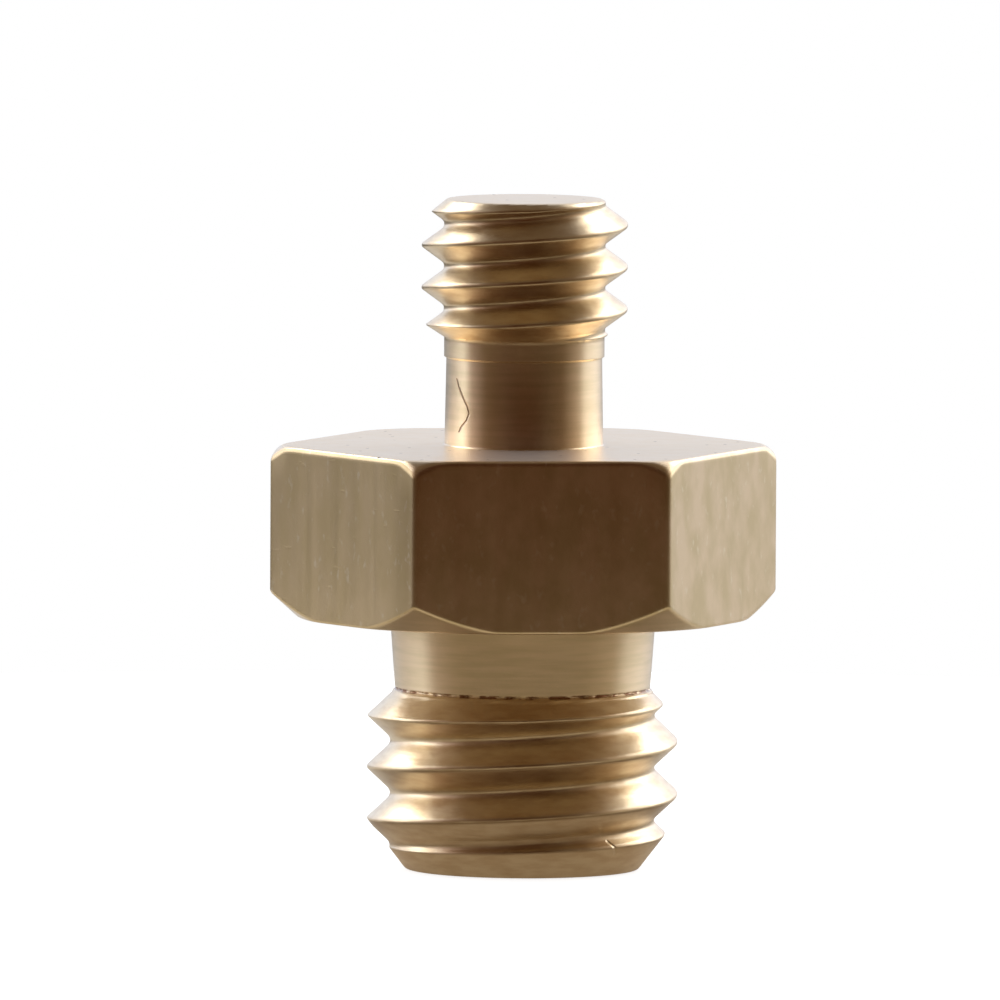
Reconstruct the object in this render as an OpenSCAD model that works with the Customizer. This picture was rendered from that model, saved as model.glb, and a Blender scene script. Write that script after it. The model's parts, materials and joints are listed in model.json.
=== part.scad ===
// Tripod thread adapter: a turned brass stud with a hexagon in the middle.
// It stands on the flat end of its large thread. The origin is the centre of that end, +Z points up
// along the axis, and two of the six flats face -Y and +Y. All sizes are in millimetres.

/* [Small thread, 1/4 inch, 20 turns to the inch] */
// Diameter over the thread's crests
small_major_d = 6.22; // [6.0:0.02:6.5]
// Diameter at the bottom of the groove
small_root_d = 4.86; // [4.7:0.02:5.1]
// Turns to the inch
small_tpi = 20; // [18:1:24]
// Width of the flat left along the crest
small_crest_w = 0.1; // [0.06:0.01:0.2]
// Angle between the two flanks of the groove
small_flank_angle = 72; // [55:1:80]
// From the end face to where the crest starts to run out
small_thread_len = 3.7; // [3:0.1:12]
// Length over which the crest runs out to the plain land
small_runout_len = 0.45; // [0.3:0.05:0.8]
// Direction, seen from above, in which the groove leaves the end face
small_exit_angle = 29; // [0:1:359]
// Width of the chamfer round the end face, across the radius
small_chamfer_w = 0.72; // [0.4:0.02:1.1]
// Height of the chamfer round the end face, along the axis
small_chamfer_h = 0.62; // [0.3:0.02:1.2]

/* [Small neck] */
// Length of the land between the run-out and the neck
small_land_len = 0.6; // [0.3:0.05:1.5]
// How far the land lies below the bottom of the groove
small_land_drop = 0.015; // [0.01:0.005:0.05]
// Diameter of the plain neck at the land
small_neck_d = 4.69; // [4:0.01:4.75]
// Diameter of the plain neck at the hexagon
small_neck_foot_d = 4.78; // [4:0.01:5.2]
// Length of the plain neck, from the land to the hexagon
small_neck_len = 2.65; // [1.5:0.05:10]
// Radius of the fillet where the neck meets the hexagon
small_fillet_r = 0.12; // [0.05:0.01:0.4]

/* [Hexagon] */
// Width across the flats
hex_af = 13.3; // [12:0.1:16]
// Height from the lower shoulder to the upper one
hex_h = 5.2; // [4:0.1:12]
// How far in from the corners the upper chamfer starts
hex_top_chamfer_w = 0.42; // [0.1:0.02:1]
// Slope of the upper chamfer against the upper shoulder
hex_top_slope = 45; // [20:1:50]
// How far in from the corners the lower chamfer starts
hex_bottom_chamfer_w = 0.88; // [0.1:0.02:1.2]
// Slope of the lower chamfer against the lower shoulder
hex_bottom_slope = 42; // [20:1:50]

/* [Large neck] */
// Diameter of the plain neck at the run-out
large_neck_d = 7.68; // [7:0.01:7.9]
// Diameter of the plain neck at the hexagon
large_neck_foot_d = 8; // [7:0.01:8.6]
// Length of the plain neck, from the hexagon to the run-out
large_neck_len = 2.2; // [2:0.05:10]
// Radius of the fillet where the neck meets the hexagon
large_fillet_r = 0.12; // [0.05:0.01:0.4]

/* [Large thread, 3/8 inch, 16 turns to the inch] */
// Diameter over the thread's crests
large_major_d = 9.37; // [9.2:0.01:9.8]
// Diameter at the bottom of the groove
large_root_d = 7.98; // [7.94:0.02:8.3]
// Turns to the inch
large_tpi = 16; // [14:1:18]
// Width of the flat left along the crest
large_crest_w = 0.1; // [0.06:0.01:0.2]
// Angle between the two flanks of the groove
large_flank_angle = 86; // [55:1:88]
// From the end face to where the crest starts to run out
large_thread_len = 4.6; // [4:0.1:14]
// Length over which the crest runs out to the neck
large_runout_len = 0.8; // [0.5:0.05:1.2]
// Direction, seen from above, in which the groove leaves the end face
large_exit_angle = 22; // [0:1:359]
// Width of the chamfer round the end face, across the radius
large_chamfer_w = 1.14; // [0.6:0.02:1.4]
// Height of the chamfer round the end face, along the axis
large_chamfer_h = 1.5; // [0.5:0.02:1.7]

/* [Hidden] */
inch = 25.4;
brass = [0.72, 0.58, 0.40];
// Steps round one turn of a groove, and how far its section reaches past the crest
steps = 60;
reach = 0.35;

// Heights along the axis, from the end of the large thread upwards
large_pitch = inch / large_tpi;
large_runout_z = large_thread_len + large_runout_len;
hex_bottom_z = large_runout_z + large_neck_len;
hex_top_z = hex_bottom_z + hex_h;
land_z = hex_top_z + small_neck_len;
small_runout_z = land_z + small_land_len;
small_pitch = inch / small_tpi;
small_crest_z = small_runout_z + small_runout_len;
top_z = small_crest_z + small_thread_len;

// Radius to the hexagon's corners, and how far past them the two chamfer cones are carried
corner_r = hex_af / 2 / cos(30);
past_corner = 0.5;
small_land_r = small_root_d / 2 - small_land_drop;

// Points on the quarter circle of a fillet that leaves a neck and meets a shoulder.
// side is 1 for a shoulder above the neck and -1 for one below it.
function fillet(neck_r, shoulder_z, r, side) =
    [for (i = [0:4]) let (a = side > 0 ? i * 22.5 : 90 - i * 22.5)
        [neck_r + r * (1 - cos(a)), shoulder_z - side * r * (1 - sin(a))]];

// Half of the turned outline, from the end of the large thread up to the end of the small one
function outline() = concat(
    [[0, 0],
     [large_major_d / 2 - large_chamfer_w, 0],
     [large_major_d / 2, large_chamfer_h],
     [large_major_d / 2, large_thread_len],
     [large_neck_d / 2, large_runout_z]],
    fillet(large_neck_foot_d / 2, hex_bottom_z, large_fillet_r, 1),
    [[corner_r - hex_bottom_chamfer_w, hex_bottom_z],
     [corner_r + past_corner, hex_bottom_z + (hex_bottom_chamfer_w + past_corner) * tan(hex_bottom_slope)],
     [corner_r + past_corner, hex_top_z - (hex_top_chamfer_w + past_corner) * tan(hex_top_slope)],
     [corner_r - hex_top_chamfer_w, hex_top_z]],
    fillet(small_neck_foot_d / 2, hex_top_z, small_fillet_r, -1),
    [[small_neck_d / 2, land_z],
     [small_land_r, land_z],
     [small_land_r, small_runout_z],
     [small_major_d / 2, small_crest_z],
     [small_major_d / 2, top_z - small_chamfer_h],
     [small_major_d / 2 - small_chamfer_w, top_z],
     [0, top_z]]);

// The blank as it leaves the lathe, before its flats are milled and its threads are cut
module turned_blank() {
    rotate_extrude($fn = 120)
        polygon(outline());
}

// Hexagonal bar, with two flats square to Y
module hex_bar() {
    cylinder(h = top_z, r = corner_r, $fn = 6);
}

// Section of a groove as [radius, height] pairs: a V whose root is rounded by an arc that touches both
// flanks, and whose sides go straight out once they are past the crest
function groove_section(major_d, root_d, pitch, crest_w, angle) =
    let (flank = angle / 2)
    let (crest_half_w = (pitch - crest_w) / 2)
    let (root_half_w = max(0.02, crest_half_w - (major_d - root_d) / 2 * tan(flank)))
    let (root_arc_r = root_half_w * tan(45 + flank / 2))
    let (corner_r = major_d / 2 + crest_w / 4 / tan(flank))
    let (side = crest_half_w + crest_w / 4)
    concat(
        [[corner_r + reach, -side], [corner_r, -side]],
        [for (i = [-2:2]) let (a = i / 2 * (90 - flank))
            [root_d / 2 + root_arc_r * (1 - cos(a)), root_arc_r * sin(a)]],
        [[corner_r, side], [corner_r + reach, side]]);

// Right-handed helical groove from height z0 to height z1. Its section is swept round the axis and
// climbs by one pitch a turn, so that its middle is at exit_z in the direction exit_angle.
module thread_groove(major_d, root_d, pitch, crest_w, angle, exit_angle, exit_z, z0, z1) {
    section = groove_section(major_d, root_d, pitch, crest_w, angle);
    sides = len(section);
    rings = ceil((z1 - z0) / pitch * steps);
    points = [for (k = [0:rings]) for (p = section)
        let (z = z0 + k * pitch / steps)
        let (turn = exit_angle + (z - exit_z) / pitch * 360)
            [p[0] * cos(turn), p[0] * sin(turn), z + p[1]]];
    walls = [for (k = [0:rings - 1]) for (i = [0:sides - 1])
        let (a = k * sides + i, b = k * sides + (i + 1) % sides)
            [a, a + sides, b + sides, b]];
    first = [for (i = [0:sides - 1]) i];
    last = [for (i = [sides - 1:-1:0]) rings * sides + i];
    polyhedron(points = points, faces = concat(walls, [first, last]), convexity = 10);
}

// The finished adapter
module adapter() {
    color(brass)
        difference() {
            intersection() {
                turned_blank();
                hex_bar();
            }
            thread_groove(large_major_d, large_root_d, large_pitch, large_crest_w, large_flank_angle,
                large_exit_angle, 0, -large_pitch / 2, large_runout_z + large_pitch / 2);
            thread_groove(small_major_d, small_root_d, small_pitch, small_crest_w, small_flank_angle,
                small_exit_angle, top_z, small_runout_z - small_pitch / 2, top_z + small_pitch / 2);
        }
}

adapter();
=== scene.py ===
# %% [markdown]
# # A brass thread adapter, turned and threaded
# The real thing is one piece of brass bar. A lathe turned both ends down, cut a thread on each and
# left a hexagon of the bar between them for a spanner. It has no joints and no second material, so
# all that tells its story is the surface: where light catches a crest, an edge or a tool mark. The
# solid model holds its sizes. This file dresses it with one smooth mesh and four finishes of the
# same metal, and lights it as a small product is lit.

# %% Load the frame
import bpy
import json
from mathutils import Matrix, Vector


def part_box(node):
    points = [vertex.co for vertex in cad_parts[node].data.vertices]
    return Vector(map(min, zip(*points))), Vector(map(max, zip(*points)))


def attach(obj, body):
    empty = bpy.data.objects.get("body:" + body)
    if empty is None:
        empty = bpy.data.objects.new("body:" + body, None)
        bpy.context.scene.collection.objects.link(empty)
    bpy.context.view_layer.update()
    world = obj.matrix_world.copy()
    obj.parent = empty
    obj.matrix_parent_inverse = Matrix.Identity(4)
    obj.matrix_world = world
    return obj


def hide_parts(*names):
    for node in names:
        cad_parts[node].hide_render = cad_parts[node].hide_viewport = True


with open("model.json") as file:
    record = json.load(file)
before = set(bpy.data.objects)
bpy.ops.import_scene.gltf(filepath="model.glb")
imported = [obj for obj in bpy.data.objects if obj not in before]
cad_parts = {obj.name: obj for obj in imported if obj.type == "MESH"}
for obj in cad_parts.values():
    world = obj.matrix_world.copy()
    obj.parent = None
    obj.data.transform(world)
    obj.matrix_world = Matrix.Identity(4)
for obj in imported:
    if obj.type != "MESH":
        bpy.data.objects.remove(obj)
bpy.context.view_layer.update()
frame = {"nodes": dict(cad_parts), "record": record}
print("nodes:", sorted(frame["nodes"]))

# %% [markdown]
# ## Units and sizes
# Blender works in metres here, but a part of 20 mm is easier to think about in millimetres. So every
# shape below is worked out in millimetres and turned to metres once, when its mesh is made. The
# heights of the shoulders and the size of the threads come from the model's own record. What the
# record doesn't state, such as the depth of a groove, is named here as it was read from the part.

# %% Sizes from the frame, in millimetres
import json
import math

import bmesh
import bpy
import numpy as np
from mathutils import Matrix, Vector

MM = 0.001
mounts = {m["name"]: m for m in frame["record"]["mounts"]}
top_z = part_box("adapter")[1][2] / MM
hex_bottom_z = mounts["lower_shoulder"]["pos_m"][2] / MM
hex_top_z = mounts["upper_shoulder"]["pos_m"][2] / MM
hex_flat_r = mounts["hexagon"]["dims"]["r_mm"]
hex_corner_r = hex_flat_r / math.cos(math.radians(30))
print(f"{top_z:.1f} mm tall, hexagon {2 * hex_flat_r:.1f} mm across flats, "
      f"from {hex_bottom_z:.1f} to {hex_top_z:.1f} mm")

# %% Threads: crest radius from the record, then groove and run-out
LARGE = {
    "crest_r": mounts["large_thread"]["dims"]["r_mm"], "root_r": 3.99, "pitch": 25.4 / 16,
    "crest_w": 0.1, "flank_angle": 86, "exit_angle": 22, "exit_z": 0.0,
}
SMALL = {
    "crest_r": mounts["small_thread"]["dims"]["r_mm"], "root_r": 2.43, "pitch": 25.4 / 20,
    "crest_w": 0.1, "flank_angle": 72, "exit_angle": 29, "exit_z": top_z,
}
LARGE_RUNOUT_LENGTH = 0.8
SMALL_RUNOUT_LENGTH = 0.45
SMALL_LAND_LENGTH = 0.6
large_neck_r, large_neck_foot_r = 3.84, 4.0
large_runout_z = mounts["large_thread"]["dims"]["length_mm"]
large_crest_z = large_runout_z - LARGE_RUNOUT_LENGTH
small_neck_r, small_neck_foot_r = 2.345, 2.39
small_land_r = 2.415
small_runout_z = top_z - mounts["small_thread"]["dims"]["length_mm"]
small_land_z = small_runout_z - SMALL_LAND_LENGTH
small_crest_z = small_runout_z + SMALL_RUNOUT_LENGTH
fillet_r = 0.05
large_fillet_edge_r = large_neck_foot_r + fillet_r
small_fillet_edge_r = small_neck_foot_r + fillet_r
large_end_r, large_chamfer_h = 3.545, 1.5
small_end_r, small_chamfer_h = 2.39, 0.62
# Width of the worn rim round each end face
EDGE_BREAK = 0.05
for name, thread in (("large", LARGE), ("small", SMALL)):
    print(name, "thread:", round(2 * thread["crest_r"], 2), "mm over its crests, pitch",
          round(thread["pitch"], 3), "mm")

# %% [markdown]
# ## Soft edges by formula
# A real edge is never sharp: a file, a burr or a polishing cloth has rounded it, and that thin
# rounding is what catches the light. A soft maximum makes it. Far from the edge it is the larger of
# two values, and near it the two are blended over a width. Used on radii it rounds a groove, and
# used on distances from planes it rounds a whole solid.

# %% Soft minimum and maximum
def soft_max(a, b, width):
    """The larger of a and b, plus (width - |a - b|)^2 / 4 width where they are closer than width."""
    blend = np.maximum(width - np.abs(a - b), 0)
    return np.maximum(a, b) + blend * blend / (4 * width)


def soft_min(a, b, width):
    """The smaller of a and b, rounded in the same way."""
    return -soft_max(-a, -b, width)


print("two planes that meet, softened over 0.1 mm, move by",
      round(float(soft_max(0.0, 0.0, 0.1)), 3), "mm")

# %% [markdown]
# ## Columns round the axis
# The whole part is one net of columns round the axis and rows along the outline, so its threads,
# necks and hexagon meet column by column and nothing has to be cut or joined. Columns crowd at the
# six corners of the hexagon, because a rounding 0.1 mm wide needs several of them.

# %% Column angles
COLUMNS_PER_SIDE = 48


def column_angles(per_side):
    """Angles in radians: the sine of an even step sweeps each side of 60 degrees and crowds its ends."""
    step = -1 + 2 * np.arange(per_side) / per_side
    side = 30 + 30 * np.sin(step * math.pi / 2)
    return np.radians((np.arange(6)[:, None] * 60 + side[None, :]).ravel())


theta = column_angles(COLUMNS_PER_SIDE)
closest = float(np.degrees(np.diff(theta).min()))
print(len(theta), "columns, the closest", round(closest, 3), "degrees apart")

# %% [markdown]
# ## Threads
# A screw thread is one groove that climbs by its pitch in every turn. A net of level rows would
# cross it at a slant and leave steps along the crest. Here the rows climb with the thread instead:
# each row is a helix that stays on the crest, on a flank or in the root. After a full turn a row
# meets the row one pitch above it, and rows that would leave the threaded length are held at its
# ends, where they close to a ring.

# %% Radius of a threaded shank
ROOT_SOFTNESS = 0.1
CREST_SOFTNESS = 0.06


def groove_middle(angle, thread):
    """Height of the groove's middle, one pitch higher each turn and at exit_z at the exit angle."""
    turn = angle / (2 * math.pi) - thread["exit_angle"] / 360
    return thread["exit_z"] + thread["pitch"] * turn


def thread_radius(angle, z, thread):
    """Radius of the thread, held softly between its root and its crest.

    A flank rises from the root by (distance from the groove's middle, less half the root's width)
    / tan(half the flank angle).
    """
    pitch = thread["pitch"]
    slope = math.tan(math.radians(thread["flank_angle"] / 2))
    offset = z - groove_middle(angle, thread)
    offset = np.abs(offset - pitch * np.round(offset / pitch))
    depth = thread["crest_r"] - thread["root_r"]
    root_half_w = (pitch - thread["crest_w"]) / 2 - depth * slope
    flank = thread["root_r"] + (offset - root_half_w) / slope
    groove = soft_max(thread["root_r"], flank, ROOT_SOFTNESS)
    return soft_min(thread["crest_r"], groove, CREST_SOFTNESS)


in_one_turn = thread_radius(0.0, np.linspace(1, 3, 400), LARGE)
print(f"large thread: radius {in_one_turn.min():.2f} mm in the root, "
      f"{in_one_turn.max():.2f} mm on the crest")

# %% [markdown]
# ## Turned blank
# Before a thread is cut, the lathe turns a blank: a cylinder at the crest's radius, a chamfer at its
# end so that the die can start, and a cone where the die stops and the crest fades into the neck.
# Its outline is a few points, and the threaded shank is whatever both the blank and the groove
# leave standing, so the thread starts and runs out as a real one does.

# %% Radius of the turned blank
# The neck steps up to the land over this height, and the groove's edges are this soft.
STEP_BELOW_LAND, STEP_ABOVE_LAND = 0.03, 0.02
CUT_SOFTNESS = 0.03


def outline(*points):
    """Heights and radii of an outline, for np.interp."""
    z, r = zip(*points)
    return np.array(z), np.array(r)


LARGE_BLANK = outline(
    (0.0, large_end_r - EDGE_BREAK), (EDGE_BREAK / 2, large_end_r),
    (large_chamfer_h, LARGE["crest_r"]), (large_crest_z, LARGE["crest_r"]),
    (large_runout_z, large_neck_r), (hex_bottom_z, large_neck_foot_r))
SMALL_BLANK = outline(
    (hex_top_z, small_neck_foot_r), (small_land_z - STEP_BELOW_LAND, small_neck_r),
    (small_land_z + STEP_ABOVE_LAND, small_land_r), (small_runout_z, small_land_r),
    (small_crest_z, SMALL["crest_r"]), (top_z - small_chamfer_h, SMALL["crest_r"]),
    (top_z - EDGE_BREAK / 2, small_end_r), (top_z, small_end_r - EDGE_BREAK))


def shank_radius(angle, z, thread, blank):
    """Radius of a shank: the blank, with the groove cut out of it."""
    return soft_min(np.interp(z, *blank), thread_radius(angle, z, thread), CUT_SOFTNESS)


print(len(LARGE_BLANK[0]), "points in the lower outline and", len(SMALL_BLANK[0]), "in the upper one")

# %% [markdown]
# ## Torn edge
# Where the die stopped, beside the lower neck, it pushed up a thin burr and tore the metal above it.
# The photograph shows that as a ragged line round the neck. A few bumps placed by hand would look
# placed, so the height of the lip and the depth of the tear wander round the axis as a sum of waves.

# %% Burr where the large thread runs out
LIP_Z, LIP_HALF_WIDTH, LIP_HEIGHT = large_runout_z - 0.02, 0.04, 0.07
TEAR_Z, TEAR_HALF_WIDTH, TEAR_DEPTH = large_runout_z + 0.06, 0.03, 0.05


def ragged(angle, waves, seed):
    """Uneven value from 0 to 1 round the axis: a sum of cosines with whole waves and random phases."""
    random = np.random.default_rng(seed)
    total = sum(np.cos(n * angle + random.uniform(0, 2 * math.pi)) for n in waves)
    return np.clip(0.5 + total / (0.9 * len(waves)), 0, 1)


def burr(angle, z):
    """Lip minus tear: each is a bell exp(-(z / half width)^2), times its uneven value round the axis."""
    lip_bell = np.exp(-((z - LIP_Z) / LIP_HALF_WIDTH) ** 2)
    tear_bell = np.exp(-((z - TEAR_Z) / TEAR_HALF_WIDTH) ** 2)
    lip = LIP_HEIGHT * (0.5 + 0.5 * ragged(angle, (5, 11, 17, 26), 3)) * lip_bell
    tear = TEAR_DEPTH * ragged(angle, (13, 21, 34, 47, 60), 8) * tear_bell
    return lip - tear


print(f"lip up to {burr(theta, LIP_Z).max():.3f} mm, tear down to {burr(theta, TEAR_Z).min():.3f} mm")

# %% [markdown]
# ## Rows along the outline
# A zone is a pair of arrays, the radius and the height of every row at every column. Level zones
# stack their rows, and a threaded zone shears them. Each zone ends where the next one starts, and
# merging equal points joins them.

# %% Zones to vertices and faces
# The finishes are numbered in the order in which their materials are added below.
TURNED, CUT, DRAWN, FACED = range(4)
# How far a thread's rows shift towards crest and root, as a share of a turn
CROWDING = 0.05
vertices = []
faces = []
finishes = []


def add_zone(radius, height, finish, rows_per_turn=0):
    """Adds a net of rows by columns; a thread's last column meets its first one rows_per_turn up."""
    rows, count = radius.shape
    start = sum(len(v) for v in vertices)
    xyz = np.stack([radius * np.cos(theta), radius * np.sin(theta), height], axis=-1)
    vertices.append(xyz.reshape(-1, 3))
    number = start + np.arange(rows * count).reshape(rows, count)
    after = np.roll(number, -1, axis=1)
    if rows_per_turn:
        wrapped = np.minimum(np.arange(rows) + rows_per_turn, rows - 1)
        after[:, -1] = number[wrapped, 0]
    quads = np.stack([number[:-1], after[:-1], after[1:], number[1:]], axis=-1)
    faces.append(quads.reshape(-1, 4))
    finishes.append(np.repeat(np.broadcast_to(finish, rows - 1), count))


def level_zone(thread, blank, heights):
    """Level rows at the given heights, with the shank's radius plus the burr's."""
    height = np.repeat(np.asarray(heights)[:, None], len(theta), axis=1)
    add_zone(shank_radius(theta, height, thread, blank) + burr(theta, height), height, TURNED)


def threaded_zone(thread, blank, z_from, z_to, rows_per_turn):
    """Rows that climb with the thread: the groove's middle plus a constant, held between two heights."""
    pitch = thread["pitch"]
    share = np.arange(rows_per_turn) / rows_per_turn
    crowd = share - CROWDING * np.sin(4 * math.pi * share)
    middle = groove_middle(theta, thread)
    first = math.floor((z_from - middle.max()) / pitch) - 1
    last = math.ceil((z_to - middle.min()) / pitch) + 1
    offset = (np.arange(first, last)[:, None] + crowd[None, :]).ravel() * pitch
    height = np.clip(middle[None, :] + offset[:, None], z_from, z_to)
    radius = shank_radius(theta[None, :], height, thread, blank) + burr(theta[None, :], height)
    add_zone(radius, height, CUT, rows_per_turn)


print("four finishes, numbered", TURNED, CUT, DRAWN, FACED)

# %% [markdown]
# ## Hexagon
# The hexagon is the common part of six flats, two shoulders and two cones that the lathe chamfered
# its corners with. Its sharp outline is laid out column by column, and then every point is moved
# onto the softened solid by a few Newton steps along the slope of the distance.

# %% Distance from the softened hexagon
TOP_CHAMFER_WIDTH, BOTTOM_CHAMFER_WIDTH = 0.36, 0.88
TOP_CHAMFER_R = hex_corner_r - TOP_CHAMFER_WIDTH
TOP_SLOPE = math.radians(45)
BOTTOM_CHAMFER_R = hex_corner_r - BOTTOM_CHAMFER_WIDTH
BOTTOM_SLOPE = math.radians(42)
CORNER_SOFTNESS = 0.13
TOP_SOFTNESS = 0.15
BOTTOM_SOFTNESS = 0.07


def hexagon_distance(p):
    """Soft maximum of the distances from six flats, two cones and two shoulders: 0 on the surface."""
    angles = np.radians(30 + 60 * np.arange(6))
    flats = p[..., 0, None] * np.cos(angles) + p[..., 1, None] * np.sin(angles) - hex_flat_r
    flats = np.sort(flats, axis=-1)
    d = soft_max(flats[..., -1], flats[..., -2], CORNER_SOFTNESS)
    r = np.hypot(p[..., 0], p[..., 1])
    above = p[..., 2] - hex_top_z
    below = hex_bottom_z - p[..., 2]
    top_cone = (r - TOP_CHAMFER_R) * math.sin(TOP_SLOPE) + above * math.cos(TOP_SLOPE)
    bottom_cone = (r - BOTTOM_CHAMFER_R) * math.sin(BOTTOM_SLOPE) + below * math.cos(BOTTOM_SLOPE)
    for other, softness in ((top_cone, TOP_SOFTNESS), (above, TOP_SOFTNESS),
                            (bottom_cone, BOTTOM_SOFTNESS), (below, BOTTOM_SOFTNESS)):
        d = soft_max(d, other, softness)
    return d


def settle(p, steps=4, h=1e-4):
    """Newton steps onto the zero of hexagon_distance: each moves p by -slope * distance / slope^2."""
    for _ in range(steps):
        d = hexagon_distance(p)
        slope = np.stack([hexagon_distance(p + h * np.eye(3)[k]) - d for k in range(3)], axis=-1) / h
        p = p - slope * (d / (slope * slope).sum(axis=-1))[..., None]
    return p


corner = settle(np.array([[hex_corner_r, 0.0, (hex_bottom_z + hex_top_z) / 2]]))[0, 0]
print(f"the rounding takes {hex_corner_r - corner:.3f} mm off a corner")

# %% Rows over the hexagon
NEAR_EDGE = np.array([0.0, 0.03, 0.06, 0.09, 0.12, 0.16, 0.22])


def crowded(a, b, between=5):
    """Points from a to b, shape (rows, columns, 2), crowded towards both ends and even between them."""
    length = np.linalg.norm(b - a, axis=-1)
    near = np.minimum(NEAR_EDGE[:, None], length / 2)
    inner = near[-1] + (length - 2 * near[-1]) * (np.arange(1, between)[:, None] / between)
    along = np.concatenate([near, inner, (length - near)[::-1]])
    share = along / np.maximum(length, 1e-9)
    return a + (b - a) * share[..., None]


def hexagon_zone():
    """Sharp outline from the lower fillet round the hexagon to the upper one, settled on the solid."""
    side = np.radians(60)
    flat_r = hex_flat_r / np.cos((theta % side) - side / 2)
    zero = np.zeros_like(theta)
    low_edge_r = np.minimum(flat_r, BOTTOM_CHAMFER_R)
    high_edge_r = np.minimum(flat_r, TOP_CHAMFER_R)
    low_z = hex_bottom_z + (flat_r - low_edge_r) * math.tan(BOTTOM_SLOPE)
    high_z = hex_top_z - (flat_r - high_edge_r) * math.tan(TOP_SLOPE)
    corners = [
        (zero + large_fillet_edge_r, zero + hex_bottom_z), (low_edge_r, zero + hex_bottom_z),
        (flat_r, low_z), (flat_r, high_z),
        (high_edge_r, zero + hex_top_z), (zero + small_fillet_edge_r, zero + hex_top_z)]
    corners = [np.stack(c, axis=-1) for c in corners]
    spans = [crowded(a, b) for a, b in zip(corners, corners[1:])]
    rows = np.concatenate(spans)
    span_finish = np.repeat([FACED, TURNED, DRAWN, TURNED, FACED], len(spans[0]))
    p = np.stack([rows[..., 0] * np.cos(theta), rows[..., 0] * np.sin(theta), rows[..., 1]], axis=-1)
    p = settle(p)
    add_zone(np.hypot(p[..., 0], p[..., 1]), p[..., 2], span_finish[:-1])


print(len(NEAR_EDGE), "rows lie within", NEAR_EDGE[-1], "mm of each edge")

# %% Fillets and end faces
def fillet_zone(neck_r, shoulder_z, side):
    """Quarter circle from a neck to a shoulder: side is 1 with the neck below the shoulder, else -1."""
    a = np.linspace(0, math.pi / 2, 7)[::side][:, None] + 0 * theta
    height = shoulder_z - side * fillet_r * (1 - np.sin(a))
    add_zone(neck_r + fillet_r * (1 - np.cos(a)), height, TURNED)


def end_face(edge_r, z, outward):
    """Flat disc from its middle to its edge, facing up where outward is 1 and down where it is -1."""
    r = edge_r * np.linspace(0, 1, 6)[::-outward][:, None] + 0 * theta
    add_zone(r, 0 * r + z, FACED)


print(f"fillets of {fillet_r} mm, end faces {2 * large_end_r:.1f} and {2 * small_end_r:.1f} mm across")

# %% [markdown]
# ## Build the body
# The zones are laid from the lower end face up to the upper one, in the order in which a finger
# would run over them. All have the same columns, so their rims match point for point, but for two:
# the fillets start at the foot's radius, and there the necks are thinner, by up to 0.015 mm below
# the hexagon and by 0.001 mm above it.

# %% Lower end: face, thread and neck
ROWS_PER_TURN = 36
# Length of neck that the burr reaches, where the rows are close
TORN_LENGTH = 0.16
end_face(large_end_r - EDGE_BREAK, 0.0, -1)
threaded_zone(LARGE, LARGE_BLANK, 0.0, large_runout_z, ROWS_PER_TURN)
level_zone(LARGE, LARGE_BLANK, np.concatenate([
    np.linspace(large_runout_z, large_runout_z + TORN_LENGTH, 12),
    np.linspace(large_runout_z + TORN_LENGTH + 0.06, hex_bottom_z - fillet_r, 10)]))
print("lower end:", sum(len(v) for v in vertices), "points")

# %% Hexagon between its fillets
fillet_zone(large_neck_foot_r, hex_bottom_z, 1)
hexagon_zone()
fillet_zone(small_neck_foot_r, hex_top_z, -1)
print("with the hexagon:", sum(len(v) for v in vertices), "points")

# %% Upper end: neck, land, thread and face
# Rows about the step from the neck to the land
LAND_STEP_ROWS = np.array([-0.04, -0.03, -0.02, -0.01, 0.0, 0.01, 0.02, 0.03, 0.05])
level_zone(SMALL, SMALL_BLANK, np.concatenate([
    np.linspace(hex_top_z + fillet_r, small_land_z - 0.05, 12),
    small_land_z + LAND_STEP_ROWS,
    np.linspace(small_land_z + 0.08, small_runout_z, 6)]))
threaded_zone(SMALL, SMALL_BLANK, small_runout_z, top_z, ROWS_PER_TURN)
end_face(small_end_r - EDGE_BREAK, top_z, 1)
print("all zones:", sum(len(v) for v in vertices), "points")

# %% One mesh
# In metres: points this close are one, and an edge this short has no length.
SAME_POINT, NO_LENGTH = 1e-7, 1e-8


def make_body(name):
    """One mesh from all zones: equal points merged, faces without area dropped."""
    mesh = bpy.data.meshes.new(name)
    xyz = np.concatenate(vertices) * MM
    quads = np.concatenate(faces)
    mesh.from_pydata(xyz.tolist(), [], quads.tolist())
    mesh.polygons.foreach_set("material_index", np.concatenate(finishes))
    bm = bmesh.new()
    bm.from_mesh(mesh)
    bmesh.ops.remove_doubles(bm, verts=bm.verts, dist=SAME_POINT)
    bmesh.ops.dissolve_degenerate(bm, edges=bm.edges, dist=NO_LENGTH)
    bmesh.ops.recalc_face_normals(bm, faces=bm.faces)
    open_edges = sum(1 for e in bm.edges if not e.is_manifold)
    triangles = sum(len(f.verts) - 2 for f in bm.faces)
    print(name, triangles, "triangles,", open_edges, "edges not closed, volume",
          round(bm.calc_volume() / MM ** 3, 1), "mm3")
    bm.to_mesh(mesh)
    bm.free()
    mesh.shade_smooth()
    body = bpy.data.objects.new(name, mesh)
    bpy.context.scene.collection.objects.link(body)
    return body


body = make_body("adapter_body")
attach(body, "root")
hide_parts("adapter")

# %% [markdown]
# ## Colours and nodes
# Colours are written as they look on a screen, in sRGB hex, but a renderer adds light in linear
# values, so one function turns them. A second small function adds any node with its settings and
# its links and hands back one output. With it, a material reads as a list of what was done to the
# metal.

# %% Colours and nodes
def colour(hex_code):
    """Linear colour, with an alpha of 1, of an sRGB hex value."""
    parts = [int(hex_code[i:i + 2], 16) / 255 for i in (0, 2, 4)]
    return [p / 12.92 if p <= 0.04045 else ((p + 0.055) / 1.055) ** 2.4 for p in parts] + [1.0]


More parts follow.
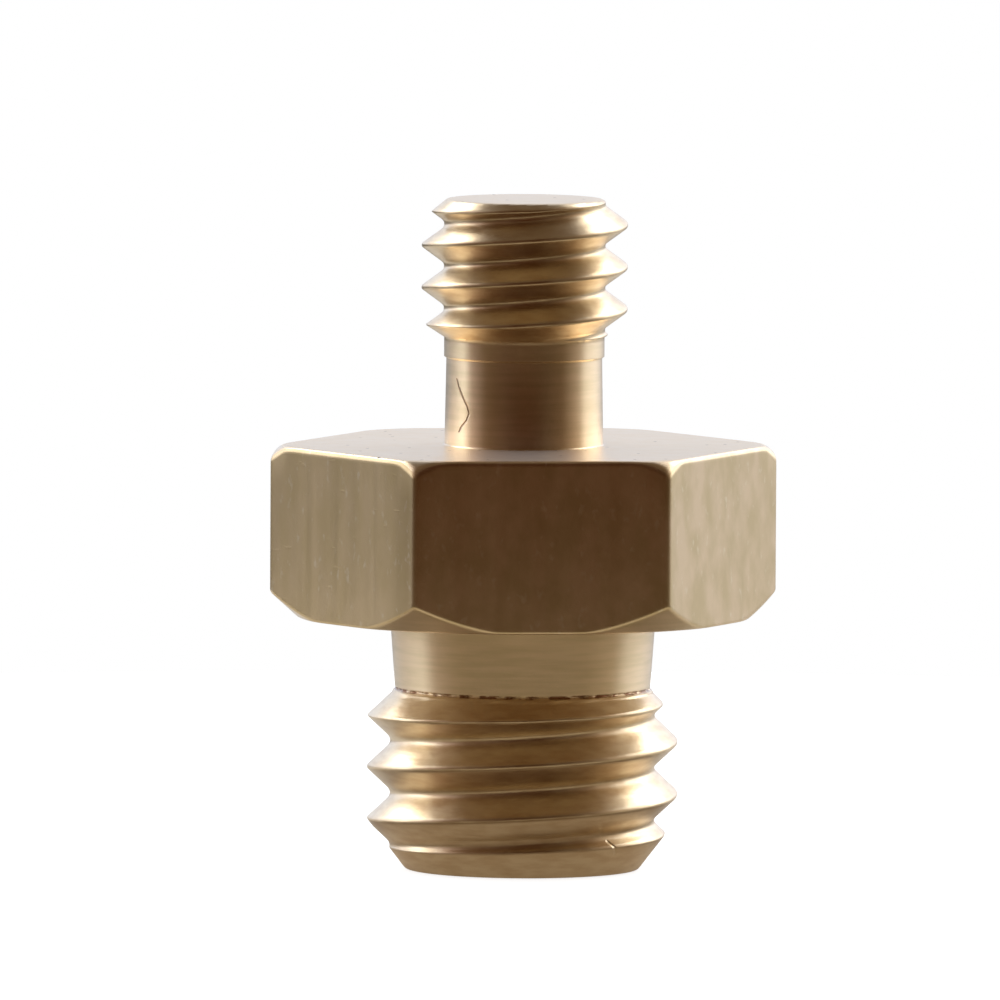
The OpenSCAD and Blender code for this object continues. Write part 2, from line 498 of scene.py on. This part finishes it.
def node(tree, kind, inputs=None, output=0, **settings):
    """Adds a node, sets it, fills or links its inputs by name or number, and returns one output."""
    made = tree.nodes.new("ShaderNode" + kind)
    for key, value in settings.items():
        setattr(made, key, value)
    for key, value in (inputs or {}).items():
        if isinstance(value, bpy.types.NodeSocket):
            tree.links.new(value, made.inputs[key])
        else:
            made.inputs[key].default_value = value
    return made.outputs[output]


# Tints of what the brass mirrors: where it is bare, and where a die has cut it
BRASS = "e5ceac"
FRESH_BRASS = "e2ceac"
print("brass in linear values:", [round(c, 2) for c in colour(BRASS)])

# %% [markdown]
# ## Bare brass
# Bare brass has no paint to colour it: the metal itself tints what it mirrors. So one Principled
# shader with Metallic at 1 serves every surface, and its base colour is the tint. What differs from
# one surface to the next is the direction of its tool marks. Marks that run round the axis spread a
# reflection along the axis, so a neck shows soft upright bands, and marks that run up the flats
# spread it sideways. The shader takes that direction as a tangent. It could come from a UV map, but
# on a turned part it follows from the place alone, so it is worked out from Object coordinates.
#
# Roughness varies in every finish, but never falls below 0.28. The renderer's noise filter follows
# the reflection on smoother metal, and a pattern that crosses over to that leaves hard lines.

# %% The metal, and the directions on it
MIDDLE_ROUGHNESS = 0.3


def metal(name, spread, tint=BRASS):
    """Bare brass as the body's next material; spread is how far tool marks smear light across them."""
    material = bpy.data.materials.new(name)
    material.use_nodes = True
    tree = material.node_tree
    shader = tree.nodes["Principled BSDF"]
    shader.inputs["Base Color"].default_value = colour(tint)
    shader.inputs["Metallic"].default_value = 1.0
    shader.inputs["Roughness"].default_value = MIDDLE_ROUGHNESS
    shader.inputs["Anisotropic"].default_value = spread
    body.data.materials.append(material)
    return tree, shader


def place_in_mm(tree):
    """Place on the part in millimetres."""
    place = node(tree, "TexCoord", output="Object")
    return node(tree, "VectorMath", {0: place, "Scale": 1 / MM}, operation="SCALE")


def round_the_axis(tree):
    """Direction round the axis: the axis cross the place, made one long."""
    place = node(tree, "TexCoord", output="Object")
    around = node(tree, "VectorMath", {0: (0, 0, 1), 1: place}, operation="CROSS_PRODUCT")
    return node(tree, "VectorMath", {0: around}, operation="NORMALIZE")


def across_the_rings(tree):
    """Direction on the surface square to the rings: the normal cross the direction round the axis."""
    normal = node(tree, "NewGeometry", output="Normal")
    return node(tree, "VectorMath", {0: normal, 1: round_the_axis(tree)}, operation="CROSS_PRODUCT")


print("bare brass at a roughness of about", MIDDLE_ROUGHNESS)

# %% [markdown]
# ## Grain and relief
# Every mark on this part is a pattern of a known size, so noise is asked for in features to the
# millimetre, with its own fineness along each axis. Stretched along one axis it makes rings or
# streaks. Relief turns such a pattern into bumps whose depth is given in micrometres. One pixel of
# the picture is 0.03 mm, so marks finer than about 0.08 mm are drawn that coarse, or they wouldn't
# show.

# %% Patterns sized in millimetres
PIXELS_PER_MM = 33.2


def grain(tree, place, per_mm, detail=2.0, span=(0.0, 1.0), to=(0.0, 1.0)):
    """Noise, its features to the millimetre along x, y and z; its values in span are spread over to."""
    stretched = node(tree, "VectorMath", {0: place, 1: per_mm}, operation="MULTIPLY")
    noise = node(tree, "TexNoise", {"Vector": stretched, "Scale": 1.0, "Detail": detail})
    return node(tree, "MapRange", {"Value": noise, "From Min": span[0], "From Max": span[1],
                                   "To Min": to[0], "To Max": to[1]})


def relief(tree, shader, heights):
    """Bumps one over another: each is a height from 0 to 1 and its depth in micrometres."""
    normal = None
    for height, depth_um in heights:
        bump = node(tree, "Bump", {"Height": height, "Strength": 1.0, "Distance": depth_um * 1e-6}).node
        if normal:
            tree.links.new(normal, bump.inputs["Normal"])
        normal = bump.outputs["Normal"]
    tree.links.new(normal, shader.inputs["Normal"])


print(f"one pixel of the picture is {1 / PIXELS_PER_MM:.2f} mm")

# %% [markdown]
# ## Marks of use
# The part has been handled: a bent scratch runs down the upper neck, and a crest of the lower thread
# has a nick. Both are thinner than the rows of the mesh, so they are drawn in the material. The
# surface is rolled out flat, a mark is a broken line on it, and the distance to that line says how
# deep a point lies in the mark.

# %% A line on the rolled-out surface
def unrolled(tree, place, radius):
    """Surface rolled out flat: azimuth from +X times a radius, then the height, in millimetres."""
    parts = node(tree, "SeparateXYZ", {0: place}).node.outputs
    azimuth = node(tree, "Math", {0: parts["Y"], 1: parts["X"]}, operation="ARCTAN2")
    along = node(tree, "Math", {0: azimuth, 1: radius}, operation="MULTIPLY")
    return node(tree, "CombineXYZ", {"X": along, "Y": parts["Z"]})


def scratch(tree, flat, points, width):
    """1 on a broken line and 0 at its edge, from the least of the distances to its stretches."""
    nearest = width
    for start, end in zip(points, points[1:]):
        start, end = Vector((*start, 0)), Vector((*end, 0))
        stretch = end - start
        from_start = node(tree, "VectorMath", {0: flat, 1: start}, operation="SUBTRACT")
        along = node(tree, "VectorMath", {0: from_start, 1: stretch / stretch.length_squared},
                     "Value", operation="DOT_PRODUCT")
        along = node(tree, "Math", {0: along, 1: 0.0}, operation="ADD", use_clamp=True)
        foot = node(tree, "VectorMath", {0: stretch, "Scale": along}, operation="SCALE")
        gap = node(tree, "VectorMath", {0: from_start, 1: foot}, "Value", operation="DISTANCE")
        nearest = node(tree, "Math", {0: gap, 1: nearest}, operation="MINIMUM")
    return node(tree, "MapRange", {"Value": nearest, "From Min": 0.0, "From Max": width,
                                   "To Min": 1.0, "To Max": 0.0})


print(f"the upper neck rolls out to {2 * math.pi * small_neck_foot_r:.1f} mm")

# %% [markdown]
# ## Turned brass
# The necks and the chamfers came off the lathe and were left as the tool cut them. Its slow feed
# leaves rings about 0.08 mm apart. Each ring is a shallow groove, so the surface is satin along the
# axis and nearly a mirror round it. Where the die stopped, it tore the neck's foot. The tear is
# painted dark as painted shade, and the scratch is painted darker too. Handling has stained the rings in
# faint bands.

# %% Turned brass: satin rings, a scratch, and painted shade in the torn edge
# Bare metal with its tool marks. The marks of use have their places along and up, in millimetres.
NECK_SCRATCH = [(-6.42, 14.85), (-6.3, 14.62), (-6.12, 14.38), (-5.86, 14.05),
                (-5.78, 13.84), (-5.9, 13.62), (-6.14, 13.42), (-6.24, 13.28)]
SCRATCH_WIDTH, SCRATCH_DARKENING = 0.045, 0.7
TEAR_FADE = 0.04
STAINED_BRASS = "dac5a0"
# Painted shade in the torn edge, and a darker tone in the scratch: both are mixed towards this colour.
DARK_IN_GROOVES = "8a6448"
tree, shader = metal("turned_brass", 0.9)
place = place_in_mm(tree)
rings = grain(tree, place, (0.1, 0.1, 12), 1.5)
dull = grain(tree, place, (0.12, 0.12, 3.2), span=(0.3, 0.7), to=(0.28, 0.33))
scratched = scratch(tree, unrolled(tree, place, small_neck_foot_r), NECK_SCRATCH, SCRATCH_WIDTH)
height = node(tree, "SeparateXYZ", {0: place}, "Z")
from_tear = node(tree, "Math", {0: height, 1: TEAR_Z}, operation="SUBTRACT")
from_tear = node(tree, "Math", {0: from_tear}, operation="ABSOLUTE")
near_tear = node(tree, "MapRange", {"Value": from_tear, "From Min": TEAR_HALF_WIDTH,
                                    "From Max": TEAR_HALF_WIDTH + TEAR_FADE,
                                    "To Min": 1.0, "To Max": 0.0})
broken = grain(tree, place, (3, 3, 6), span=(0.4, 0.55))
torn = node(tree, "Math", {0: near_tear, 1: broken}, operation="MULTIPLY")
in_scratch = node(tree, "Math", {0: scratched, 1: SCRATCH_DARKENING}, operation="MULTIPLY")
# Painted shade along the tear, with the scratch darkened as well.
darkened_grooves = node(tree, "Math", {0: torn, 1: in_scratch}, operation="MAXIMUM")
stains = grain(tree, place, (0.5, 0.5, 6), 4.0, span=(0.4, 0.65))
skin = node(tree, "Mix", {"Factor": stains, 6: colour(BRASS), 7: colour(STAINED_BRASS)}, 2,
            data_type="RGBA")
skin = node(tree, "Mix", {"Factor": darkened_grooves, 6: skin, 7: colour(DARK_IN_GROOVES)}, 2, data_type="RGBA")
tree.links.new(skin, shader.inputs["Base Color"])
tree.links.new(across_the_rings(tree), shader.inputs["Tangent"])
tree.links.new(dull, shader.inputs["Roughness"])
relief(tree, shader, [(rings, 2.2), (scratched, -15)])
print("turned brass:", len(tree.nodes), "nodes")

# %% [markdown]
# ## Cut thread
# A die cut both threads, and its teeth dragged the metal a little. The flanks have fine tears round
# the axis, 0.09 mm apart, and shallow dents half a millimetre wide, so their reflections are uneven
# where those of the necks are calm. A little old oil has stained them in patches.

# %% Cut brass: torn flanks and a nick
# Bare metal as a die left it, with a nick at about the radius where it lies on the flank.
NICK = [(-4.06, 1.08), (-3.75, 0.71)]
NICK_RADIUS = 4.2
NICK_WIDTH = 0.07
OILED_BRASS = "d4bc98"
tree, shader = metal("cut_thread_brass", 0.5, FRESH_BRASS)
place = place_in_mm(tree)
tears = grain(tree, place, (0.5, 0.5, 11), 3.0)
dents = grain(tree, place, (1.6, 1.6, 3))
dull = grain(tree, place, (1.6, 1.6, 3), span=(0.3, 0.7), to=(0.28, 0.34))
nick = scratch(tree, unrolled(tree, place, NICK_RADIUS), NICK, NICK_WIDTH)
stains = grain(tree, place, (1.2, 1.2, 5), 4.0, span=(0.4, 0.65))
skin = node(tree, "Mix", {"Factor": stains, 6: colour(FRESH_BRASS), 7: colour(OILED_BRASS)}, 2,
            data_type="RGBA")
tree.links.new(skin, shader.inputs["Base Color"])
tree.links.new(across_the_rings(tree), shader.inputs["Tangent"])
tree.links.new(dull, shader.inputs["Roughness"])
relief(tree, shader, [(tears, 5.0), (dents, 9.0), (nick, -25)])
print("cut brass:", len(tree.nodes), "nodes")

# %% [markdown]
# ## Drawn bar
# The six flats are the skin of the bar itself, as it was drawn through a die: streaks run along it,
# and it has had the longest time to tarnish. The tarnish is a thin yellow-brown film in clouds
# under a millimetre wide, with paler rubbed flecks where other parts have knocked against it. The
# left flats are painted darker and yellower as painted shade, most of all along the edge that they
# share with the front one. The streaks are a few hundredths of a millimetre apart on real bar and
# are drawn 0.08 mm apart here.

# %% Drawn brass: streaks, tarnish, rubbed flecks, and painted shade on the left flats
# The bar's own skin, lightly tarnished. The left flats lie beyond x = -3.84, where they meet the
# front and back ones, and the painted shade on them starts about there.
CLEAN_SKIN, CLOUD, RUBBED = "e8d1b0", "d7c29a", "fbf0dc"
# Painted shade: the left flats are painted darker, most of all along their edge with the front flat.
LEFT_SHADE, LEFT_SHADE_FROM, LEFT_SHADE_TO, LEFT_SHADE_SHARE = "d8bd8c", -3.7, -4.0, 0.6
EDGE_SHADE, EDGE_SHADE_FROM, EDGE_SHADE_TO, EDGE_SHADE_SHARE = "947c50", -4.7, -3.9, 0.7
tree, shader = metal("drawn_bar_brass", 0.5)
place = place_in_mm(tree)
streaks = grain(tree, place, (12, 12, 0.35), 1.0)
bands = grain(tree, place, (2.6, 2.6, 0.12), span=(0.25, 0.75), to=(0.28, 0.32))
tarnish = grain(tree, place, (1.3, 1.3, 0.8), 4.0, span=(0.35, 0.65))
flecks = grain(tree, place, (4, 4, 2.5), span=(0.62, 0.75), to=(0.0, 0.35))
knocks = grain(tree, place, (1.6, 1.6, 5), span=(0.66, 0.74))
side = node(tree, "SeparateXYZ", {0: place}, "X")
left = node(tree, "MapRange", {"Value": side, "From Min": LEFT_SHADE_FROM, "From Max": LEFT_SHADE_TO,
                               "To Max": LEFT_SHADE_SHARE})
edge = node(tree, "MapRange", {"Value": side, "From Min": EDGE_SHADE_FROM, "From Max": EDGE_SHADE_TO,
                               "To Max": EDGE_SHADE_SHARE}, interpolation_type="SMOOTHSTEP")
edge = node(tree, "Math", {0: edge, 1: left}, operation="MULTIPLY")
skin = node(tree, "Mix", {"Factor": tarnish, 6: colour(CLEAN_SKIN), 7: colour(CLOUD)}, 2, data_type="RGBA")
skin = node(tree, "Mix", {"Factor": left, 6: skin, 7: colour(LEFT_SHADE)}, 2, data_type="RGBA")
skin = node(tree, "Mix", {"Factor": edge, 6: skin, 7: colour(EDGE_SHADE)}, 2, data_type="RGBA")
skin = node(tree, "Mix", {"Factor": flecks, 6: skin, 7: colour(RUBBED)}, 2, data_type="RGBA")
tree.links.new(skin, shader.inputs["Base Color"])
tree.links.new(round_the_axis(tree), shader.inputs["Tangent"])
tree.links.new(bands, shader.inputs["Roughness"])
relief(tree, shader, [(streaks, 0.3), (knocks, 0.7)])
print("drawn brass:", len(tree.nodes), "nodes")

# %% [markdown]
# ## Faced brass
# The shoulders and the ends were faced square to the axis, so their tool marks are rings within
# rings. Fingers and dust have dulled them, which a little sheen gives, and a few small pits about
# 0.1 mm wide lie on them, painted dark as painted shade. A pit is the middle of a cell of a Voronoi
# pattern, and only some of the cells have one.

# %% Faced brass: rings within rings, haze, and pits with painted shade
# Bare metal, faced flat and a little hazy. The pits' sizes are shares of a cell.
CELLS_PER_MM = 0.9
PIT_FLOOR, PIT_RIM = 0.03, 0.06
# Painted shade: the pits are mixed towards this dark colour.
PIT_SHADE = "6e5844"
tree, shader = metal("faced_brass", 0.0)
place = place_in_mm(tree)
flat_place = node(tree, "VectorMath", {0: place, 1: (1, 1, 0)}, operation="MULTIPLY")
radius = node(tree, "VectorMath", {0: flat_place}, "Value", operation="LENGTH")
ring_place = node(tree, "CombineXYZ", {"X": radius})
rings = grain(tree, ring_place, (9, 0, 0))
dull = grain(tree, place, (1.5, 1.5, 1.5), 3.0, span=(0.3, 0.7), to=(0.28, 0.34))
cells = node(tree, "TexVoronoi", {"Vector": place, "Scale": CELLS_PER_MM},
             voronoi_dimensions="2D").node.outputs
middle = node(tree, "MapRange", {"Value": cells["Distance"], "From Min": PIT_FLOOR, "From Max": PIT_RIM,
                                 "To Min": 1.0, "To Max": 0.0})
chosen = node(tree, "MapRange", {"Value": cells["Color"], "From Min": 0.55, "From Max": 0.6})
pits = node(tree, "Math", {0: middle, 1: chosen}, operation="MULTIPLY")
face = node(tree, "Mix", {"Factor": pits, 6: colour(BRASS), 7: colour(PIT_SHADE)}, 2, data_type="RGBA")
tree.links.new(face, shader.inputs["Base Color"])
tree.links.new(dull, shader.inputs["Roughness"])
shader.inputs["Sheen Weight"].default_value = 0.15
shader.inputs["Sheen Roughness"].default_value = 0.4
relief(tree, shader, [(rings, 0.5), (pits, -15)])
print("faced brass:", len(tree.nodes), "nodes, materials:", [m.name for m in body.data.materials])

# %% [markdown]
# ## Camera
# The photograph looks at the part from a little above its middle and a little to the left of one
# flat. The two end faces show almost no perspective, so the lens is long: the camera stands 0.8 m
# away and frames only 30 mm. Its turn and shift put the axis where it is in the picture.

# %% Camera
CAMERA_AZIMUTH = -4.8
CAMERA_ELEVATION = 4.5
CAMERA_ROLL = 0.3
CAMERA_DISTANCE = 0.8
SENSOR_WIDTH = 36
IMAGE_PIXELS = 1000
AXIS_PIXEL_X = 523.5
AXIS_HEIGHT = 11.12 * MM


def add_camera():
    """Camera whose picture is 1000 pixels across, with 33.2 pixels to the millimetre at the axis."""
    azimuth, elevation = math.radians(CAMERA_AZIMUTH), math.radians(CAMERA_ELEVATION)
    away = Vector((math.sin(azimuth) * math.cos(elevation),
                   -math.cos(azimuth) * math.cos(elevation),
                   math.sin(elevation)))
    data = bpy.data.cameras.new("camera")
    camera = bpy.data.objects.new("camera", data)
    bpy.context.scene.collection.objects.link(camera)
    field = IMAGE_PIXELS / PIXELS_PER_MM * MM
    data.sensor_width = SENSOR_WIDTH
    data.lens = SENSOR_WIDTH * CAMERA_DISTANCE / field
    data.shift_x = -(AXIS_PIXEL_X - IMAGE_PIXELS / 2) / IMAGE_PIXELS
    data.clip_start = 0.01
    turn = (-away).to_track_quat("-Z", "Y").to_matrix().to_4x4()
    turn = turn @ Matrix.Rotation(math.radians(CAMERA_ROLL), 4, "Z")
    camera.matrix_world = Matrix.Translation(Vector((0, 0, AXIS_HEIGHT)) + away * CAMERA_DISTANCE) @ turn
    bpy.context.scene.camera = camera
    return camera


camera = add_camera()
print("camera at", [round(v, 3) for v in camera.matrix_world.translation], "m, lens",
      round(camera.data.lens), "mm")

# %% [markdown]
# ## The room
# Metal is mostly a picture of its room, so the room is drawn rather than left plain. It is a ring of
# walls: dark on the camera's side, which the front flat mirrors, brightest at both sides, and about
# white behind, as the backdrop is. A far floor takes over below the horizon, and high up there are a
# dim ceiling and two windows. Lamps could do the same, but a lamp is a hard shape in a mirror, and a
# painted room stays soft. Directions are azimuths in degrees, 0 towards the camera and positive to the
# right, and the tones were set until the bands on the necks and flats looked right.

# %% Directions in the room
# In a world's nodes, Generated is the direction in which a ray looks.
world = bpy.data.worlds.new("studio")
world.use_nodes = True
bpy.context.scene.world = world
tree = world.node_tree
direction = node(tree, "TexCoord", output="Generated")
direction = node(tree, "VectorRotate", {"Vector": direction, "Angle": math.radians(-CAMERA_AZIMUTH)},
                 rotation_type="Z_AXIS")
axes = node(tree, "SeparateXYZ", {0: direction}).node.outputs
toward = node(tree, "Math", {0: axes["Y"], 1: -1.0}, operation="MULTIPLY")
azimuth = node(tree, "Math", {0: axes["X"], 1: toward}, operation="ARCTAN2")
turn = node(tree, "MapRange", {"Value": azimuth, "From Min": -math.pi, "From Max": math.pi})
elevation = node(tree, "Math", {0: axes["Z"]}, operation="ARCSINE")
print("azimuth and elevation:", len(tree.nodes), "nodes")

# %% Walls and far floor
WALLS = [(-180, "8e939d"), (-150, "9fa6b5"), (-130, "b2b2bc"), (-100, "edf3fd"), (-87, "8c8082"),
         (-60, "46382d"), (-30, "362822"), (-15, "281810"), (0, "231005"), (20, "231208"),
         (35, "322820"), (60, "45382d"), (90, "85796e"), (105, "d3d6db"), (130, "e7ecf6"),
         (150, "bec1cd"), (180, "8e939d")]
WALL_STRENGTH = 3.0
FLOOR_BELOW, WALL_ABOVE = math.radians(-4), math.radians(3)
FAR_FLOOR = [(-180, "909090"), (-140, "585140"), (-100, "342814"), (-60, "42301a"), (0, "543420"),
             (60, "46341e"), (100, "a4a09c"), (140, "d4d4d4"), (180, "909090")]


def ring_of_tones(tones):
    """Colour round the part: straight blends between tones given as (azimuth in degrees, sRGB hex)."""
    ramp = node(tree, "ValToRGB", {0: turn}).node
    while len(ramp.color_ramp.elements) < len(tones):
        ramp.color_ramp.elements.new(0.5)
    for element, (degrees, hex_code) in zip(ramp.color_ramp.elements, tones):
        element.position = degrees / 360 + 0.5
        element.color = colour(hex_code)
    return ramp.outputs["Color"]


walls = node(tree, "VectorMath", {0: ring_of_tones(WALLS), "Scale": WALL_STRENGTH}, operation="SCALE")
above_floor = node(tree, "MapRange", {"Value": elevation, "From Min": FLOOR_BELOW,
                                      "From Max": WALL_ABOVE}, interpolation_type="SMOOTHSTEP")
room = node(tree, "Mix", {"Factor": above_floor, 6: ring_of_tones(FAR_FLOOR), 7: walls}, 2,
            data_type="RGBA")
print(len(WALLS), "tones of wall and", len(FAR_FLOOR), "of floor")

# %% Ceiling and windows
# The windows are round patches of sky. WINDOW_RIM is their radius, and they are fully bright within
# WINDOW_GLASS of their middle.
CEILING = "6a5a48"
WALL_BELOW, CEILING_ABOVE = math.radians(34), math.radians(64)
WINDOW_AZIMUTH = 138
WINDOW_RISE = 0.8
WINDOW_RIM, WINDOW_GLASS = math.radians(16), math.radians(10)
WINDOW_STRENGTH = 5.0
near_ceiling = node(tree, "MapRange", {"Value": elevation, "From Min": WALL_BELOW,
                                       "From Max": CEILING_ABOVE}, interpolation_type="SMOOTHSTEP")
room = node(tree, "Mix", {"Factor": near_ceiling, 6: room, 7: colour(CEILING)}, 2, data_type="RGBA")
for degrees in (-WINDOW_AZIMUTH, WINDOW_AZIMUTH):
    middle = Vector((math.sin(math.radians(degrees)), -math.cos(math.radians(degrees)), WINDOW_RISE))
    nearness = node(tree, "VectorMath", {0: direction, 1: middle.normalized()}, "Value",
                    operation="DOT_PRODUCT")
    window = node(tree, "MapRange", {"Value": nearness, "From Min": math.cos(WINDOW_RIM),
                                     "From Max": math.cos(WINDOW_GLASS)},
                  interpolation_type="SMOOTHSTEP")
    room = node(tree, "Mix", {"Factor": window, 6: room, 7: (WINDOW_STRENGTH,) * 3 + (1.0,)}, 2,
                data_type="RGBA")
print("windows", 2 * round(math.degrees(WINDOW_RIM)), "degrees wide")

# %% [markdown]
# ## White background
# The camera must see plain white round the part, and the white sheet is lit plainly too. Only camera
# and matt rays get that white. The room stays the default for all others, because the renderer also
# samples the world as a lamp, without naming a ray, and the metal must be lit by the same room that
# it mirrors. The room's back wall is about as bright as the white backdrop, so the metal mirrors
# that backdrop as well.

# %% What the camera and matt surfaces see
seen = node(tree, "LightPath").node.outputs
plain = node(tree, "Math", {0: seen["Is Camera Ray"], 1: seen["Is Diffuse Ray"]}, operation="MAXIMUM")
seen_world = node(tree, "Mix", {"Factor": plain, 6: room, 7: colour("ffffff")}, 2, data_type="RGBA")
tree.links.new(seen_world, tree.nodes["Background"].inputs["Color"])
print("world:", len(tree.nodes), "nodes")

# %% [markdown]
# ## Floor
# The part stands on white paper. To the camera the paper is white and glows a little, and it keeps a
# soft shadow at the part's foot. In the metal it is a set of painted tones of light and shade, by
# distance and by side: painted shade under the hexagon, darker and warm in front, and painted light
# behind, where the light comes from. At the foot it has a painted glow, which stands in for light caught
# between it and the metal.

# %% A round sheet of paper
# It lies a hair below the end face, so that the two faces don't coincide.
FLOOR_RADIUS = 70 * MM
FLOOR_GAP = 0.02 * MM
floor_mesh = bpy.data.meshes.new("floor")
bm = bmesh.new()
bmesh.ops.create_circle(bm, cap_ends=True, radius=FLOOR_RADIUS, segments=96)
bm.to_mesh(floor_mesh)
bm.free()
floor = bpy.data.objects.new("floor", floor_mesh)
floor.location.z = -FLOOR_GAP
bpy.context.scene.collection.objects.link(floor)
print("floor", 2 * FLOOR_RADIUS, "m across")

# %% Tones of the paper in the metal
# Each pair of distances is where a tone starts and where it is full, from the axis or, behind, along Y.
# Painted light and shade in the paper as the metal sees it: darker in front, darkest under the hexagon,
# pale behind.
FAR_SHADE_TONE, NEAR_TONE, UNDER_SHADE_TONE, BEHIND_LIGHT_TONE = "5c5040", "b6ac96", "6c5843", "c4c2be"
NEAR_FROM, NEAR_TO = 45 * MM, 22 * MM
UNDER_FROM, UNDER_TO = 16 * MM, 7 * MM
FOOT_FROM, FOOT_TO = 6.5 * MM, 4 * MM
BEHIND_FROM, BEHIND_TO = -8 * MM, 14 * MM
FOOT_GLOW = 0.25
paper = bpy.data.materials.new("white_paper")
paper.use_nodes = True
tree = paper.node_tree
tree.nodes.remove(tree.nodes["Principled BSDF"])
place = node(tree, "TexCoord", output="Object")
distance = node(tree, "VectorMath", {0: place}, "Value", operation="LENGTH")
backward = node(tree, "SeparateXYZ", {0: place}, "Y")
behind = node(tree, "MapRange", {"Value": backward, "From Min": BEHIND_FROM, "From Max": BEHIND_TO},
              interpolation_type="SMOOTHSTEP")
near = node(tree, "MapRange", {"Value": distance, "From Min": NEAR_FROM, "From Max": NEAR_TO},
            interpolation_type="SMOOTHSTEP")
under = node(tree, "MapRange", {"Value": distance, "From Min": UNDER_FROM, "From Max": UNDER_TO},
             interpolation_type="SMOOTHSTEP")
foot = node(tree, "MapRange", {"Value": distance, "From Min": FOOT_FROM, "From Max": FOOT_TO,
                               "To Max": FOOT_GLOW}, interpolation_type="SMOOTHSTEP")
front = node(tree, "Mix", {"Factor": near, 6: colour(FAR_SHADE_TONE), 7: colour(NEAR_TONE)}, 2, data_type="RGBA")
front = node(tree, "Mix", {"Factor": under, 6: front, 7: colour(UNDER_SHADE_TONE)}, 2, data_type="RGBA")
sheet = node(tree, "Mix", {"Factor": behind, 6: front, 7: colour(BEHIND_LIGHT_TONE)}, 2, data_type="RGBA")
print("tones of paper:", FAR_SHADE_TONE, NEAR_TONE, UNDER_SHADE_TONE, BEHIND_LIGHT_TONE)

# %% Paper as the metal and as the camera see it
# Painted light: the paper glows warm at the foot, though it is no lamp.
WARM_GLOW = "ffecd0"
CAMERA_PAPER, CAMERA_GLOW = "b8b8b8", 0.75
seen = node(tree, "LightPath").node.outputs
matt = node(tree, "BsdfDiffuse", {"Color": sheet})
foot_light = node(tree, "Emission", {"Color": colour(WARM_GLOW), "Strength": foot})
glowing = node(tree, "AddShader", {0: matt, 1: foot_light})
mirrored = node(tree, "MixShader", {0: seen["Is Glossy Ray"], 1: matt, 2: glowing})
white = node(tree, "BsdfDiffuse", {"Color": colour(CAMERA_PAPER)})
white_light = node(tree, "Emission", {"Color": colour("ffffff"), "Strength": CAMERA_GLOW})
bright = node(tree, "AddShader", {0: white, 1: white_light})
to_camera = node(tree, "MixShader", {0: seen["Is Camera Ray"], 1: mirrored, 2: bright})
tree.links.new(to_camera, tree.nodes["Material Output"].inputs["Surface"])
floor.data.materials.append(paper)
print("paper:", len(tree.nodes), "nodes")

# %% [markdown]
# ## Finish
# Standard view leaves colours as they were worked out, without a film look.

# %% View
bpy.context.scene.view_settings.view_transform = "Standard"
